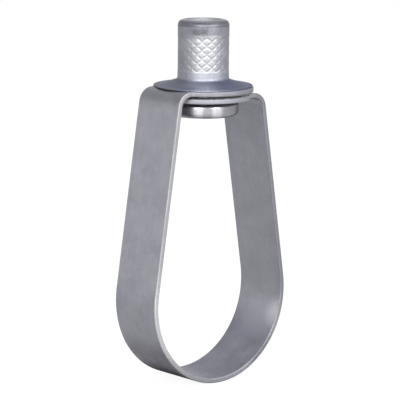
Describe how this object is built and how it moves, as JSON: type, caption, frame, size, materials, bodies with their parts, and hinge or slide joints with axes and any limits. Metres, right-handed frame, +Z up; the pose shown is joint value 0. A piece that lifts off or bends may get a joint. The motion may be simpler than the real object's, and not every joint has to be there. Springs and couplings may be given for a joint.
{
  "type": "swivel ring hanger",
  "caption": "Pear-shaped strip hanger for a pipe, with two lapped round eyes that turn under the flange of a knurled nut tapped for a rod.",
  "frame": {"origin": "centre of the pipe seat, on the pipe's axis and in the middle of the strip's width", "axes": "+Z up along the hanger rod, +Y along the pipe, +X across the ring towards the leg whose eye lies underneath"},
  "size_m": [0.0458, 0.0264, 0.0958],
  "materials": {
    "galvanised_strip": "satin, hot-dip galvanised",
    "zinc_plated_nut": "bright zinc plate"
  },
  "bodies": {
    "nut": {"swivel_nut": "zinc_plated_nut"},
    "ring": {"band": "galvanised_strip"}
  },
  "joints": [
    {"name": "ring_swivel", "type": "hinge", "parent": "nut", "child": "ring", "pos_m": [0, 0, 0.05385], "axis": [0, 0, 1], "continuous": true}
  ]
}
